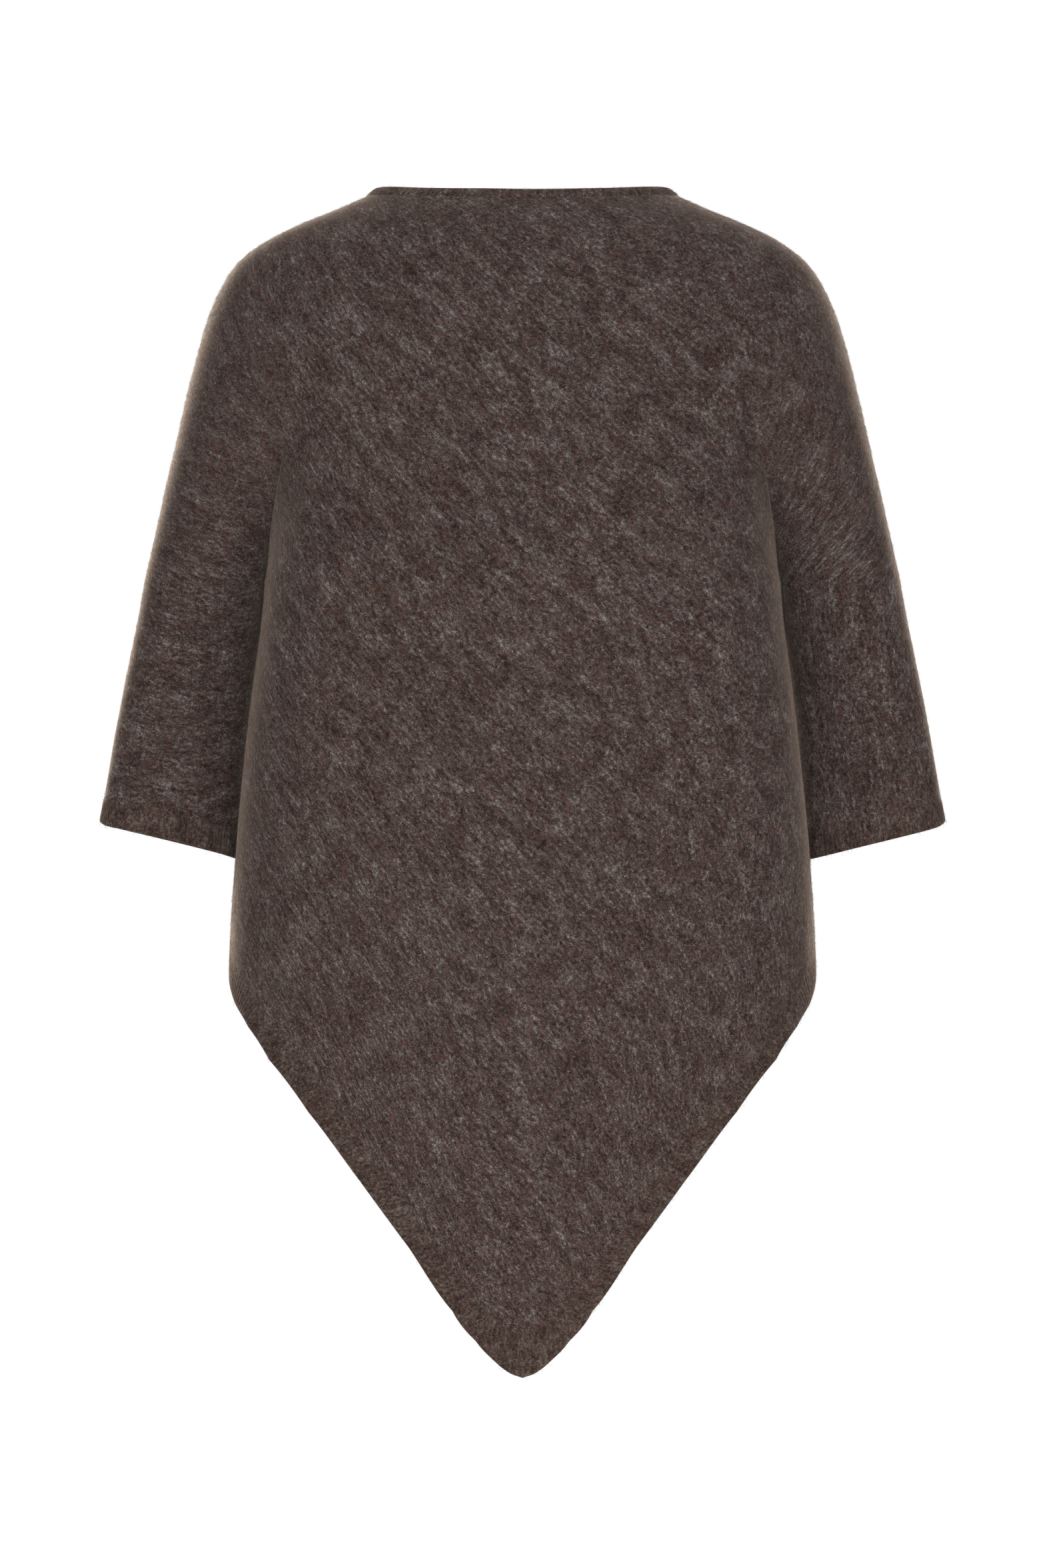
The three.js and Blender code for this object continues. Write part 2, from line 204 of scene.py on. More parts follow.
def bodyPoint(side, share, z):
    row = readRow(bodySections, placeOf(bodySections["z"], z))
    centreY = row["backY"] if side > 0 else row["frontY"]
    power = row["backPower"] if side > 0 else row["frontPower"]

    def section(turn):
        angle = turn * math.pi / 2
        x = row["sideX"] * bowed(np.sin(angle), power)
        y = row["sideY"] + (centreY - row["sideY"]) * bowed(np.cos(angle), power)
        return np.stack([x, y, np.broadcast_to(z, x.shape)], axis=-1)

    return alongCurve(section, share)


def sleevePoint(side, share, row):
    out = (1 - np.cos(share * math.pi)) / 2
    depth = row["back"] if side > 0 else -row["front"]
    x = row["inX"] + (row["outX"] - row["inX"]) * out
    y = row["inY"] + (row["outY"] - row["inY"]) * out + depth * np.sin(share * math.pi)
    z = row["inZ"] + (row["outZ"] - row["inZ"]) * out
    return np.stack([x, y, z], axis=-1)


def ringPoint(side, share, ring):
    # one round ring, which parts into body and arm towards the underarm
    centreY = ring["backY"] if side > 0 else ring["frontY"]
    centreZ = ring["backZ"] if side > 0 else ring["frontZ"]

    def circle(turn):
        angle = turn * math.pi / 2
        x = ring["overX"] * bowed(np.sin(angle), ring["power"])
        y = ring["overY"] + (centreY - ring["overY"]) * bowed(np.cos(angle), ring["power"])
        z = centreZ + (ring["overZ"] - centreZ) * np.sin(angle) ** 2
        return np.stack([x, y, z], axis=-1)

    whole = alongCurve(circle, share)
    bodyShare = np.minimum(share / cloth["shareDown"], 1)
    armShare = np.maximum((share - cloth["shareDown"]) / (1 - cloth["shareDown"]), 0)
    root = {name: values[0] for name, values in sleeveSections.items()}
    root["outX"] = ring["overX"]
    root["outY"] = ring["overY"]
    arm = sleevePoint(side, armShare, root)
    body = bodyPoint(side, bodyShare, whole[:, 2])
    apart = np.where(armShare[:, None] > tiny, arm, body)
    apart[:, 2] = whole[:, 2]
    return whole + (apart - whole) * np.clip(ring["parted"], 0, 1)[:, None]


def hemHeight(side, share):
    z = np.full(share.shape, float(cloth["underarmZ"]))
    for _ in range(sideHem["rounds"]):
        x = bodyPoint(side, share, z)[:, 0]
        z = readTable(hemLine["z"], placeOf(hemLine["x"], x)) + sideHem["lift"] * share ** sideHem["power"]
    return z


def foldPush(side, x, z):
    push = np.zeros_like(x)
    for foldSide, foldX, foldZ, length, width, depth, lean in softFolds + smallFolds:
        if foldSide == side:
            down = (z - foldZ) / (length / 2)
            across = (x - foldX - lean * (foldZ - z)) / (width / 2)
            push += depth * np.exp(-down ** 2 - across ** 2)
    return push


def pushFolds(points, side, bodyShare):
    # the folds die away towards the side seams
    column = np.interp(bodyShare, bodyShares, np.arange(len(bodyShares)))
    calm = 1 - (column / (len(bodyShares) - 1)) ** 4
    points[:, 1] += side * calm * foldPush(side, points[:, 0], points[:, 2])
    return points


def creasePush(hand, side, share, place):
    # how far the sleeve's creases push it outwards, nothing at its root and its edges
    push = np.zeros_like(share)
    for foldHand, foldSide, foldShare, foldPlace, width, reach, depth, lean in sleeveFolds:
        if foldHand == hand and foldSide == side:
            across = (share - foldShare - lean * (place - foldPlace)) / width
            down = (place - foldPlace) / reach
            push += depth * np.exp(-across ** 2 - down ** 2)
    return push * np.sin(share * math.pi) * np.clip(place / cloth["creaseFree"], 0, 1)


def yokeGrid(side, rows, columns):
    share = np.abs(columns)
    row, col = np.meshgrid(rows, np.arange(len(columns)), indexing="ij")
    flatShare = share[col.ravel()]
    ring = readRow(yokeRings, row.ravel() * (len(yokeRings["overX"]) - 1))
    points = ringPoint(side, flatShare, ring)
    points[:, 0] *= np.sign(columns)[col.ravel()]
    points = pushFolds(points, side, np.minimum(flatShare / cloth["shareDown"], 1))
    return points.reshape(len(rows), len(columns), 3)


def bodyGrid(side, rows, columns, topZ):
    share = np.abs(columns)
    seam = hemHeight(side, share) + cloth["hemBandRise"]
    z = topZ[None, :] + (seam - topZ)[None, :] * rows[:, None]
    points = bodyPoint(side, np.tile(share, len(rows)), z.ravel())
    points[:, 0] *= np.tile(np.sign(columns), len(rows))
    points = pushFolds(points, side, np.tile(share, len(rows)))
    return points.reshape(len(rows), len(columns), 3)


def sleeveGrid(side, hand, rows, columns, topZ):
    # columns are shares from the underarm seam to the overarm line
    place = np.repeat(rows, len(columns))
    share = np.tile(columns, len(rows))
    points = sleevePoint(side, share, readRow(sleeveSections, place))
    root = sleevePoint(side, columns, readRow(sleeveSections, np.zeros(len(columns))))
    fade = np.clip(1 - place, 0, 1) ** 2
    points[:, 2] += np.tile(topZ - root[:, 2], len(rows)) * fade
    points[:, 1] += side * creasePush(hand, side, share, place)
    points[:, 0] *= hand
    return points.reshape(len(rows), len(columns), 3)


def clothUv(points, startU, startV, centre):
    # lengths over the cloth, across and down, in metres
    across = np.linalg.norm(np.diff(points, axis=1), axis=2)
    u = np.concatenate([np.zeros((len(points), 1)), np.cumsum(across, axis=1)], axis=1)
    u = u - u[:, centre:centre + 1] + startU
    down = np.linalg.norm(np.diff(points, axis=0), axis=2)
    v = np.concatenate([np.zeros((1, points.shape[1])), np.cumsum(down, axis=0)], axis=0) + startV
    return np.stack([u, -v], axis=2)


def gridFaces(start, rows, columns, turned):
    faces = []
    for row in range(rows - 1):
        for column in range(columns - 1):
            a = start + row * columns + column
            quad = (a, a + columns, a + columns + 1, a + 1)
            faces.append(quad[::-1] if turned else quad)
    return faces


def meshObject(name, points, faces, uv):
    mesh = bpy.data.meshes.new(name)
    mesh.from_pydata((np.asarray(points) * mm).tolist(), [], faces)
    layer = mesh.uv_layers.new(name="clothUv")
    loopVerts = np.zeros(len(mesh.loops), int)
    mesh.loops.foreach_get("vertex_index", loopVerts)
    layer.data.foreach_set("uv", (np.asarray(uv)[loopVerts] * mm).ravel())
    piece = bpy.data.objects.new(name, mesh)
    scene.collection.objects.link(piece)
    return piece


def makeActive(piece):
    bpy.ops.object.select_all(action="DESELECT")
    bpy.context.view_layer.objects.active = piece
    piece.select_set(True)


def smoothRound(piece, degrees):
    makeActive(piece)
    bpy.ops.object.shade_smooth_by_angle(angle=math.radians(degrees))


def softenPanel(piece):
    # joins the zones, draws the sewn edges in and makes the cloth a little uneven
    mesh = piece.data
    shape = bmesh.new()
    shape.from_mesh(mesh)
    bmesh.ops.remove_doubles(shape, verts=shape.verts, dist=cloth["weldGap"] * mm)
    shape.normal_update()
    openRim = shape.verts.layers.float.get("openRim")
    sewn = [vert for vert in shape.verts if vert.is_boundary and vert[openRim] < 0.5]
    beside = {edge.other_vert(vert) for vert in sewn for edge in vert.link_edges} - set(sewn)
    for vert in shape.verts:
        broad = noise.noise(vert.co * unevenness["broad"])
        fine = noise.noise(vert.co * unevenness["fine"] + Vector(unevenness["fineShift"]))
        rough = unevenness["broadShare"] * broad + unevenness["fineShare"] * fine
        vert.co += vert.normal * (rough * unevenness["depth"] * mm)
    for vert in sewn:
        vert.co -= vert.normal * (cloth["seamDip"] * mm)
    for vert in beside:
        vert.co -= vert.normal * (cloth["besideDip"] * mm)
    shape.to_mesh(mesh)
    shape.free()


panel = {"bodyColumns": 62, "armColumns": 44, "yokeRows": 76, "bodyRows": 110, "sleeveRows": 46,
         "grainSpread": 0.5, "leastSpread": 0.01, "grainPower": 3}


def makePanel(name, side):
    down = cloth["shareDown"]
    bodyPart = np.linspace(0, 1, panel["bodyColumns"] + 1)
    armPart = np.linspace(0, 1, panel["armColumns"] + 1)
    half = np.concatenate([bodyPart * down, down + armPart[1:] * (1 - down)])
    columns = np.concatenate([-half[:0:-1], half])
    bodyShare = np.concatenate([-bodyPart[:0:-1], bodyPart])
    yoke = yokeGrid(side, np.linspace(0, 1, panel["yokeRows"] + 1), columns)
    middle = len(half) - 1
    low = middle - panel["bodyColumns"]
    high = middle + panel["bodyColumns"]
    body = bodyGrid(side, np.linspace(0, 1, panel["bodyRows"] + 1), bodyShare, yoke[-1, low:high + 1, 2])
    places = np.linspace(0, cloth["cuffPlace"], panel["sleeveRows"] + 1)
    left = sleeveGrid(side, 1, places, armPart, yoke[-1, high:, 2])
    right = sleeveGrid(side, -1, places, armPart, yoke[-1, low::-1, 2])

    yokeUv = clothUv(yoke, 0, 0, middle)
    zones = [
        (yoke, yokeUv, side > 0, 0),
        (body, clothUv(body, 0, -yokeUv[-1, low:high + 1, 1], panel["bodyColumns"]), side > 0, -1),
        (left, clothUv(left, yokeUv[-1, high, 0], -yokeUv[-1, high:, 1], 0), side > 0, -1),
        (right, clothUv(right, 0, -yokeUv[-1, low::-1, 1], 0), side < 0, -1),
    ]
    zones[3][1][:, :, 0] = yokeUv[-1, low, 0] - zones[3][1][:, :, 0]
    # how far each point belongs to a sleeve: 1 on the left one, -1 on the right one, 0 on the body
    lowered = np.linspace(0, 1, len(yoke))[:, None]
    spread = panel["grainSpread"] * (1 - lowered) + panel["leastSpread"]
    yokeArm = np.sign(columns) * np.clip((np.abs(columns) - down) / spread + 0.5, 0, 1)
    yokeArm = yokeArm * lowered ** panel["grainPower"]
    arms = [yokeArm, np.zeros(body.shape[:2]), np.ones(left.shape[:2]), -np.ones(right.shape[:2])]
    points, uvs, faces, rims = [], [], [], []
    for grid, uv, turned, rimRow in zones:
        faces += gridFaces(sum(len(part) for part in points), grid.shape[0], grid.shape[1], turned)
        rim = np.zeros(grid.shape[:2])
        rim[rimRow] = 1
        points.append(grid.reshape(-1, 3))
        uvs.append(uv.reshape(-1, 2))
        rims.append(rim.ravel())
    piece = meshObject(name, np.vstack(points), faces, np.vstack(uvs))
    openRim = piece.data.attributes.new("openRim", "FLOAT", "POINT")
    openRim.data.foreach_set("value", np.concatenate(rims))
    sleevePart = piece.data.attributes.new("sleevePart", "FLOAT", "POINT")
    sleevePart.data.foreach_set("value", np.concatenate([arm.ravel() for arm in arms]))
    softenPanel(piece)
    wall = piece.modifiers.new("wall", "SOLIDIFY")
    wall.thickness = cloth["panelWall"] * mm
    wall.offset = 0
    makeActive(piece)
    bpy.ops.object.modifier_apply(modifier=wall.name)
    smoothRound(piece, smoothUnder["panel"])
    return piece


def makeBand(name, middle, outward, closed, band):
    # middle holds rows across the band and columns along it; ribs run across
    rows, columns = middle.shape[:2]
    along = np.roll(middle, -1, axis=1) - np.roll(middle, 1, axis=1)
    if not closed:
        along[:, 0] = middle[:, 1] - middle[:, 0]
        along[:, -1] = middle[:, -1] - middle[:, -2]
    across = np.gradient(middle, axis=0)
    normal = np.cross(along, across)
    normal /= np.linalg.norm(normal, axis=2, keepdims=True)
    normal *= np.where((normal * outward).sum(axis=2, keepdims=True) < 0, -1, 1)
    width = band["across"]
    full = np.clip(1 - np.abs(2 * width - 1) ** band["squareness"], 0, 1) ** 0.5
    ribFade = full ** 2
    if band["flush"]:
        # towards the seam the band thins to the panel's wall and its ribs fade
        inner = np.clip(2 * width - 1, 0, 1)
        full = np.where(width > 0.5, 1 - (1 - band["flush"]) * inner ** 2, full)
        ribFade = np.where(width > 0.5, 1 - inner ** 3, ribFade)
        full[-1] = 0
    ribNumber = np.arange(columns) / band["columnsInRib"]
    ribs = np.cos(ribNumber * 2 * math.pi)[None, :] * band["ribDepth"] * ribFade[:, None]
    thick = full[:, None] * band["wall"] / 2
    outer = middle + normal * (thick + ribs)[:, :, None]
    under = middle - normal * (thick + ribs)[:, :, None]
    loop = np.concatenate([outer, under[-2:0:-1]], axis=0)      # closed round the band's section
    lengths = np.linalg.norm(np.diff(middle[rows // 2], axis=0), axis=1)
    u = np.concatenate([[0], np.cumsum(lengths)])
    drop = np.linalg.norm(middle[-1, 0] - middle[0, 0])
    v = np.concatenate([width, width[-2:0:-1]]) * drop
    uv = np.stack(np.broadcast_arrays(u[None, :], v[:, None]), axis=2)
    count = len(loop)
    faces = []
    for column in range(columns if closed else columns - 1):
        after = (column + 1) % columns
        for row in range(count):
            below = (row + 1) % count
            faces.append((row * columns + column, row * columns + after,
                          below * columns + after, below * columns + column))
    if not closed:
        faces.append(tuple(row * columns for row in range(count)))
        faces.append(tuple(row * columns + columns - 1 for row in reversed(range(count))))
    piece = meshObject(name, loop.reshape(-1, 3), faces, uv.reshape(-1, 2))
    shape = bmesh.new()
    shape.from_mesh(piece.data)
    bmesh.ops.recalc_face_normals(shape, faces=shape.faces)
    shape.to_mesh(piece.data)
    shape.free()
    smoothRound(piece, smoothUnder["band"])
    return piece


roundedAcross = np.array([0, 0.02, 0.07, 0.16, 0.3, 0.5, 0.7, 0.84, 0.93, 0.98, 1])
flushAcross = np.array([0, 0.015, 0.05, 0.12, 0.25, 0.4, 0.55, 0.7, 0.82, 0.92, 1, 1.002])


def evenly(line, columns, closed):
    # the places, from 0 to 1, that part a line into equal lengths
    lengths = np.concatenate([[0], np.cumsum(np.linalg.norm(np.diff(line, axis=0), axis=1))])
    wanted = np.linspace(0, lengths[-1], columns, endpoint=not closed)
    return np.interp(wanted, lengths, np.linspace(0, 1, len(line)))


def lineLength(line):
    return np.linalg.norm(np.diff(line, axis=0), axis=1).sum()


hemBand = {"wall": 3.1, "squareness": 9, "ribPitch": 2.8, "columnsInRib": 4, "ribDepth": 0.22,
           "across": flushAcross, "flush": 0.85, "lean": 0.062, "leanFrom": 0.2, "edgeSteps": 601}


def makeHemBand(name, side):
    def hemPoint(signedShare, rise):
        share = np.abs(signedShare)
        # away from the point and the side seams the ribs lean to stand square to the edge
        ease = np.clip(share / hemBand["leanFrom"], 0, 1)
        ease = ease * np.clip((1 - share) / hemBand["leanFrom"], 0, 1)
        ease = ease ** 2 * (3 - 2 * ease)
        top = np.clip(share - hemBand["lean"] * ease, 0, 1)
        z = hemHeight(side, share)
        topZ = hemHeight(side, top) + cloth["hemBandRise"]
        place = share + (top - share) * rise
        points = bodyPoint(side, place, z + (topZ - z) * rise)
        points[:, 0] *= np.sign(signedShare)
        return pushFolds(points, side, place)

    edge = hemPoint(np.linspace(-1, 1, hemBand["edgeSteps"]), 0)
    ribs = round(lineLength(edge) / hemBand["ribPitch"])
    shares = evenly(edge, ribs * hemBand["columnsInRib"] + 1, False) * 2 - 1
    middle = np.stack([hemPoint(shares, rise) for rise in hemBand["across"]])
    return makeBand(name, middle, np.array([0, side, 0]), False, hemBand)


cuffBand = {"wall": 3.1, "squareness": 9, "ribPitch": 2.8, "columnsInRib": 4, "ribDepth": 0.25,
            "across": flushAcross, "flush": 0.85, "cornerLift": 2.5, "cornerReach": 0.12,
            "backLift": {1: 3.6, -1: 0.6}, "edgeSteps": 401}


def makeCuff(name, hand):
    last = len(sleeveSections["outX"]) - 1

    def edgeLift(side, share):
        # the edge rounds off at the overarm line and rises a little in the middle of the back
        lift = cuffBand["cornerLift"] * np.exp(-((1 - share) / cuffBand["cornerReach"]) ** 2)
        if side == 1:
            lift += cuffBand["backLift"][hand] * np.sin(share * math.pi) ** 2
        return lift

    def cuffPoint(turn, rise):
        # turn runs from the underarm seam over the back to the overarm line and back by the front
        place = np.full(turn.shape, last + (cloth["cuffPlace"] - last) * rise)
        row = readRow(sleeveSections, place)
        backShare = np.clip(turn * 2, 0, 1)
        frontShare = np.clip(2 - turn * 2, 0, 1)
        back = sleevePoint(1, backShare, row)
        front = sleevePoint(-1, frontShare, row)
        back[:, 1] += creasePush(hand, 1, backShare, place)
        front[:, 1] -= creasePush(hand, -1, frontShare, place)
        back[:, 2] += edgeLift(1, backShare) * (1 - rise) ** 2
        front[:, 2] += edgeLift(-1, frontShare) * (1 - rise) ** 2
        points = np.where(turn[:, None] <= 0.5, back, front)
        points[:, 0] *= hand
        return points

    edge = cuffPoint(np.linspace(0, 1, cuffBand["edgeSteps"]), 0)
    ribs = round(lineLength(edge) / cuffBand["ribPitch"])
    turns = evenly(edge, ribs * cuffBand["columnsInRib"], True)
    middle = np.stack([cuffPoint(turns, rise) for rise in cuffBand["across"]])
    outward = middle - middle.mean(axis=1, keepdims=True)
    return makeBand(name, middle, outward, True, cuffBand)


neckBand = {"wall": 4, "squareness": 3, "ribPitch": 2.2, "columnsInRib": 4, "ribDepth": 0.16,
            "across": roundedAcross, "flush": 0, "waver": 0.6, "waverScale": 0.02,
            "edgeSteps": 801, "outwardUp": 40}


def makeNeckband(name):
    last = len(neckRings["overX"]) - 1

    def neckPoint(turn, rise):
        quarter = np.clip(np.floor(turn * 4), 0, 3)
        part = turn * 4 - quarter
        share = np.where(quarter % 2 == 0, part, 1 - part)
        ring = readRow(neckRings, np.full(turn.shape, rise * last))
        back = ringPoint(1, share, ring)
        front = ringPoint(-1, share, ring)
        points = np.where(((quarter == 0) | (quarter == 3))[:, None], back, front)
        points[:, 0] *= np.where(quarter < 2, 1, -1)
        # the band's top wavers a little
        spots = [Vector(spot) * neckBand["waverScale"] for spot in points.tolist()]
        points[:, 2] += neckBand["waver"] * rise * np.array([noise.noise(spot) for spot in spots])
        return points

    edge = neckPoint(np.linspace(0, 1, neckBand["edgeSteps"]), 0.5)
    ribs = round(lineLength(edge) / neckBand["ribPitch"])
    turns = evenly(edge, ribs * neckBand["columnsInRib"], True)
    middle = np.stack([neckPoint(turns, rise) for rise in neckBand["across"]])
    outward = middle - middle.mean(axis=(0, 1)) + np.array([0, 0, neckBand["outwardUp"]])
    return makeBand(name, middle, outward, True, neckBand)


# The knit's finish: fibres of several browns matted together, hairs on top, a soft sheen.
panelFinish = {
    "dark": (0.0062, 0.0029, 0.0023, 1),
    "middle": (0.0219, 0.0135, 0.0114, 1),
    "light": (0.0517, 0.0427, 0.0388, 1),
    "pale": (0.118, 0.114, 0.109, 1),
    "rust": (0.0345, 0.0138, 0.0098, 1),
    "beige": (0.118, 0.09, 0.068, 1),
    "grains": (86, 47, 4),      # the streaks' directions in degrees: right sleeve, middle, left sleeve
    "roughness": 0.95,
    "specular": 0.1,
    "sheen": 0.16,
    "sheenTint": (0.85, 0.66, 0.54, 1),
    "sheenRoughness": 0.3,
    "bump": 0.5,
    "bumpHeight": 0.0015,
}
bandFinish = dict(panelFinish, grains=(90, 90, 90), light=(0.048, 0.038, 0.0323, 1),
                  pale=(0.083, 0.072, 0.061, 1))
neckFinish = dict(panelFinish, grains=(90, 90, 90), middle=(0.0262, 0.0166, 0.0138, 1))

# The noises it is drawn from. Scales are features for each metre.
streaks = {
    "blotch": {"scale": 420, "length": 1.8, "shift": 7},
    "streak": {"scale": 115, "length": 2.6, "shift": 3},
}
streakNoise = {"detail": 3, "roughness": 0.6, "distortion": 0.4}
turnsBetween = (0.1, 0.9)       # the values of sleevePart between which the grain turns
noises = {
    "patch": {"scale": 45, "detail": 2, "roughness": 0.5, "distortion": 0.4},
    "fibre": {"scale": 900, "detail": 2, "roughness": 0.6, "distortion": 1.6},
    "rust": {"scale": 294, "detail": 3, "roughness": 0.6, "distortion": 0.5},
    "fleck": {"scale": 560, "detail": 2, "roughness": 0.5, "distortion": 1},
    "curl": {"scale": 190, "detail": 1, "roughness": 0.4, "distortion": 2.2},
    "broken": {"scale": 380, "detail": 1, "roughness": 0.5, "distortion": 0},
    "fuzz": {"scale": 170, "detail": 2, "roughness": 0.6, "distortion": 0},
}
# Each noise's share of the shade, the shades between which a tone takes over from the one before,
# and for the tones laid on top the values they start and end at and how strong they get.
shadeShares = {"blotch": 0.32, "streak": 0.2, "fibre": 0.4, "patch": 0.08}
shadeSteps = {"middle": (0.425, 0.5), "light": (0.5, 0.58), "pale": (0.56, 0.64)}
overlays = {"rust": (0.53, 0.66, 0, 0.6), "beige": (0.67, 0.74, 0, 0.5)}
hairs = {"line": (0.004, 0.016, 1, 0), "broken": (0.5, 0.6), "strength": 0.5, "height": 0.2}


class NodeTable:
    # short calls for a material's nodes
    def __init__(self, name):
        self.material = bpy.data.materials.new(name)
        self.material.use_nodes = True
        self.nodes = self.material.node_tree.nodes
        self.links = self.material.node_tree.links
        self.nodes.clear()

    def add(self, kind, **values):
        node = self.nodes.new(kind)
        for key, value in values.items():
            setattr(node, key, value)
        return node

    def noise(self, vector, scale, detail, roughness, distortion):
        node = self.add("ShaderNodeTexNoise")
        node.inputs["Scale"].default_value = scale
        node.inputs["Detail"].default_value = detail
        node.inputs["Roughness"].default_value = roughness
        node.inputs["Distortion"].default_value = distortion
        self.links.new(vector, node.inputs["Vector"])
        return node.outputs["Fac"]

    def fit(self, value, low, high, toLow=0, toHigh=1):
        node = self.add("ShaderNodeMapRange")
        node.inputs["From Min"].default_value = low
        node.inputs["From Max"].default_value = high
        node.inputs["To Min"].default_value = toLow
        node.inputs["To Max"].default_value = toHigh
        self.links.new(value, node.inputs["Value"])
        return node.outputs["Result"]

    def maths(self, operation, first, second=None):
        node = self.add("ShaderNodeMath", operation=operation)
        for socket, value in zip(node.inputs, (first, second)):
            if isinstance(value, (int, float)):
                socket.default_value = value
            elif value is not None:
                self.links.new(value, socket)
        return node.outputs[0]

    def blend(self, factor, first, second):
        node = self.add("ShaderNodeMix", data_type="FLOAT")
        for socket, value in zip(node.inputs[:4], (factor, None, first, second)):
            if value is not None:
                self.links.new(value, socket)
        return node.outputs[0]

    def mix(self, factor, first, second):
        node = self.add("ShaderNodeMix", data_type="RGBA")
        self.links.new(factor, node.inputs["Factor"])
        for socket, value in ((node.inputs["A"], first), (node.inputs["B"], second)):
            if isinstance(value, tuple):
                socket.default_value = value
            else:
                self.links.new(value, socket)
        return node.outputs["Result"]

    def shader(self, colour, inputs):
        node = self.add("ShaderNodeBsdfPrincipled")
        for socket, value in inputs.items():
            node.inputs[socket].default_value = value
        output = self.add("ShaderNodeOutputMaterial")
        self.links.new(colour, node.inputs["Base Color"])
        self.links.new(node.outputs["BSDF"], output.inputs["Surface"])
        return node


def knitMaterial(name, finish):
    table = NodeTable(name)
    place = table.add("ShaderNodeTexCoord").outputs["Object"]
    uv = table.add("ShaderNodeUVMap", uv_map="clothUv").outputs["UV"]
    sleevePart = table.add("ShaderNodeAttribute", attribute_name="sleevePart").outputs["Fac"]

    def grainNoise(scale, length, shift):
        # streaks so many times as long as wide, turned as the grain turns towards each sleeve
        turned = []
        for degrees in finish["grains"]:
            turn = table.add("ShaderNodeMapping", vector_type="TEXTURE")
            turn.inputs["Location"].default_value = (shift, 0, 0)
            turn.inputs["Rotation"].default_value = (0, 0, math.radians(degrees))
            turn.inputs["Scale"].default_value = (length, 1, 1)
            table.links.new(uv, turn.inputs["Vector"])
            turned.append(table.noise(turn.outputs["Vector"], scale, **streakNoise))
        right, middle, left = turned
        start, end = turnsBetween
        streak = table.blend(table.fit(sleevePart, start, end), middle, left)
        return table.blend(table.fit(sleevePart, -start, -end), streak, right)

    sources = {name: grainNoise(**streaks[name]) for name in streaks}
    sources.update({name: table.noise(place, **noises[name]) for name in ("fibre", "patch")})
    weighted = [table.maths("MULTIPLY", sources[name], share) for name, share in shadeShares.items()]
    shade = weighted[0]
    for part in weighted[1:]:
        shade = table.maths("ADD", shade, part)

    colour = table.mix(table.fit(shade, *shadeSteps["middle"]), finish["dark"], finish["middle"])
    for tone in ("light", "pale"):
        colour = table.mix(table.fit(shade, *shadeSteps[tone]), colour, finish[tone])
    rust = table.fit(table.noise(place, **noises["rust"]), *overlays["rust"])
    colour = table.mix(rust, colour, finish["rust"])
    fleck = table.fit(table.noise(place, **noises["fleck"]), *overlays["beige"])
    colour = table.mix(fleck, colour, finish["beige"])

    # short curly hairs: where a warped noise crosses its middle, broken up by another
    curl = table.noise(place, **noises["curl"])
    line = table.fit(table.maths("ABSOLUTE", table.maths("SUBTRACT", curl, 0.5)), *hairs["line"])
    broken = table.fit(table.noise(place, **noises["broken"]), *hairs["broken"])
    hair = table.maths("MULTIPLY", table.maths("MULTIPLY", line, broken), hairs["strength"])
    colour = table.mix(hair, colour, finish["pale"])

    bump = table.add("ShaderNodeBump")
    bump.inputs["Strength"].default_value = finish["bump"]
    bump.inputs["Distance"].default_value = finish["bumpHeight"]
    height = table.maths("ADD", shade, table.maths("MULTIPLY", hair, hairs["height"]))
    table.links.new(height, bump.inputs["Height"])
    shader = table.shader(colour, {
        "Roughness": finish["roughness"],
        "Specular IOR Level": finish["specular"],
        "Sheen Weight": finish["sheen"],
        "Sheen Tint": finish["sheenTint"],
        "Sheen Roughness": finish["sheenRoughness"],
    })
    table.links.new(bump.outputs["Normal"], shader.inputs["Normal"])
    return table.material


knit = knitMaterial("brownKnit", panelFinish)
rib = knitMaterial("brownRib", bandFinish)
neckRib = knitMaterial("brownNeckRib", neckFinish)
print("materials made")

# Each piece's cut, which is its flat width and length and its area in square metres, and its CAD nodes.
zoneNames = ["yoke", "body", "left_sleeve", "right_sleeve"]
cuts = {
    "backPanel": {"flat": (1.05, 0.86), "area": 0.446, "held": "hung",
                  "nodes": ["back_panel_" + zone for zone in zoneNames]},
    "frontPanel": {"flat": (1.05, 0.84), "area": 0.433, "held": "hung",
                   "nodes": ["front_panel_" + zone for zone in zoneNames]},
    "backHemBand": {"flat": (0.76, 0.026), "area": 0.0194, "held": "hung", "nodes": ["back_hem_band"]},
    "frontHemBand": {"flat": (0.76, 0.026), "area": 0.0194, "held": "hung", "nodes": ["front_hem_band"]},
    "leftCuff": {"flat": (0.31, 0.0245), "area": 0.0075, "held": "hung", "nodes": ["left_cuff"]},
    "rightCuff": {"flat": (0.31, 0.0245), "area": 0.0075, "held": "hung", "nodes": ["right_cuff"]},
    "neckbandKnit": {"flat": (0.61, 0.0115), "area": 0.007, "held": "hung", "nodes": ["neckband"]},
}


def dress(piece, material):
    cut = cuts[piece.name]
    piece.data.materials.clear()
    piece.data.materials.append(material)
    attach(piece, "root")
    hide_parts(*cut["nodes"])
    print(piece.name, len(piece.data.polygons), "faces")


dress(makePanel("backPanel", 1), knit)
dress(makePanel("frontPanel", -1), knit)
dress(makeHemBand("backHemBand", 1), rib)
dress(makeHemBand("frontHemBand", -1), rib)
dress(makeCuff("leftCuff", 1), rib)
dress(makeCuff("rightCuff", -1), rib)
dress(makeNeckband("neckbandKnit"), neckRib)
print("cloth made")

